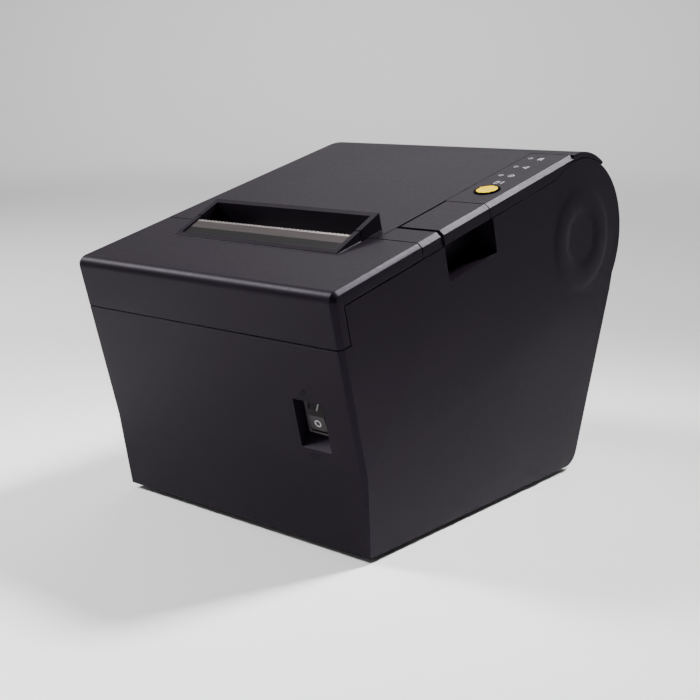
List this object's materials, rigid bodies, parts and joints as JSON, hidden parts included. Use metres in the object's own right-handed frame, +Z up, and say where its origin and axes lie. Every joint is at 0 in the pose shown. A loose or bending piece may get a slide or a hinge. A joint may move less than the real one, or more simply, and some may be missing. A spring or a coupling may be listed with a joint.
{
  "type": "receipt printer",
  "caption": "Desktop thermal receipt printer with a sloping top, rear-hinged paper cover, release lever, feed button, rocker switch and working paper feed and cutter drives.",
  "frame": {"origin": "on the table below the middle of the printer's box", "axes": "+Z up; -Y is the front with the power switch; +X is the right side seen from the front, with the control panel"},
  "size_m": [0.1394, 0.196, 0.143],
  "materials": {
    "case": "fine-grained charcoal",
    "inner_black": "matt black moulding",
    "feet": "matt black rubber",
    "screws": "zinc-plated",
    "lens": "clear light pipe",
    "board": "green solder resist",
    "switch_black": "dark grey moulding",
    "button_yellow": "bright yellow",
    "steel": "ground",
    "platen_black": "ground rubber",
    "white_plastic": "natural acetal",
    "brass_gear": "cut brass",
    "motor_case": "plated can",
    "steel_sheet": "zinc-plated sheet",
    "ceramic_head": "glazed substrate",
    "sink": "extruded",
    "tear_steel": "satin",
    "plate_metal": "satin",
    "socket_black": "black moulding"
  },
  "bodies": {
    "housing": {"main_housing": "case", "front_cover": "case", "control_panel": "case", "base_plate": "inner_black", "rubber_feet": "feet", "base_screws": "screws", "indicator_lenses": "lens", "control_board": "board", "power_switch": "switch_black", "lever_pin": "steel", "hinge_pins": "steel", "idler_stud": "steel", "stepper_motor": "motor_case", "mech_frame": "steel_sheet", "print_head": "ceramic_head", "head_heatsink": "sink", "head_spring": "steel", "paper_sensor": "inner_black", "cutter_frame": "steel_sheet", "cutter_motor": "motor_case", "tear_bar": "tear_steel", "paper_tray": "inner_black", "main_board": "board", "interface_plate": "plate_metal", "power_socket": "socket_black", "usb_socket": "plate_metal", "network_socket": "plate_metal", "drawer_socket": "socket_black"},
    "cover": {"paper_cover": "case", "platen_bushes": "white_plastic", "fixed_blade": "steel"},
    "platen": {"platen_shaft": "steel", "platen_rubber": "platen_black", "platen_gear": "white_plastic"},
    "idler": {"idler_gear": "white_plastic"},
    "motor_rotor": {"motor_pinion": "brass_gear"},
    "lever": {"release_lever": "case"},
    "rocker": {"power_rocker": "switch_black"},
    "button": {"feed_button": "button_yellow"},
    "blade": {"moving_blade": "steel"},
    "cutter_rotor": {"cutter_pinion": "brass_gear"}
  },
  "joints": [
    {"name": "cover_hinge", "type": "hinge", "parent": "housing", "child": "cover", "pos_m": [0, 0.06397, 0.1062], "axis": [-1, 0, 0], "range_deg": [0, 95]},
    {"name": "platen_spin", "type": "hinge", "parent": "cover", "child": "platen", "pos_m": [0, -0.0433, 0.10138], "axis": [1, 0, 0], "continuous": true},
    {"name": "idler_spin", "type": "hinge", "parent": "housing", "child": "idler", "pos_m": [-0.0518, -0.04259, 0.08579], "axis": [1, 0, 0], "continuous": true},
    {"name": "motor_spin", "type": "hinge", "parent": "housing", "child": "motor_rotor", "pos_m": [-0.0518, -0.04695, 0.07238], "axis": [1, 0, 0], "continuous": true},
    {"name": "lever_lift", "type": "hinge", "parent": "housing", "child": "lever", "pos_m": [0.0512, -0.02149, 0.11978], "axis": [0, -0.9686, -0.2487], "range_deg": [0, 17], "stiffness_Nm_per_rad": 0.05, "springref_deg": -5.73},
    {"name": "rocker_tilt", "type": "hinge", "parent": "housing", "child": "rocker", "pos_m": [0.048, -0.08028, 0.0544], "axis": [1, 0, 0], "range_deg": [0, 22]},
    {"name": "button_press", "type": "slide", "parent": "housing", "child": "button", "axis": [0, 0.2487, -0.9686], "range_m": [0, 0.0008], "stiffness_N_per_m": 800, "springref_m": -0.0004},
    {"name": "blade_slide", "type": "slide", "parent": "housing", "child": "blade", "axis": [0, 0.9686, 0.2487], "range_m": [0, 0.005]},
    {"name": "cutter_spin", "type": "hinge", "parent": "housing", "child": "cutter_rotor", "pos_m": [0.035, -0.07194, 0.10435], "axis": [0, 0.2487, -0.9686], "range_deg": [0, 90]}
  ],
  "couplings": [
    {"joint": "idler_spin", "follows": "platen_spin", "ratio": -0.44444},
    {"joint": "motor_spin", "follows": "platen_spin", "ratio": 1.4545},
    {"joint": "cutter_spin", "follows": "blade_slide", "rad_per_m": 250}
  ]
}
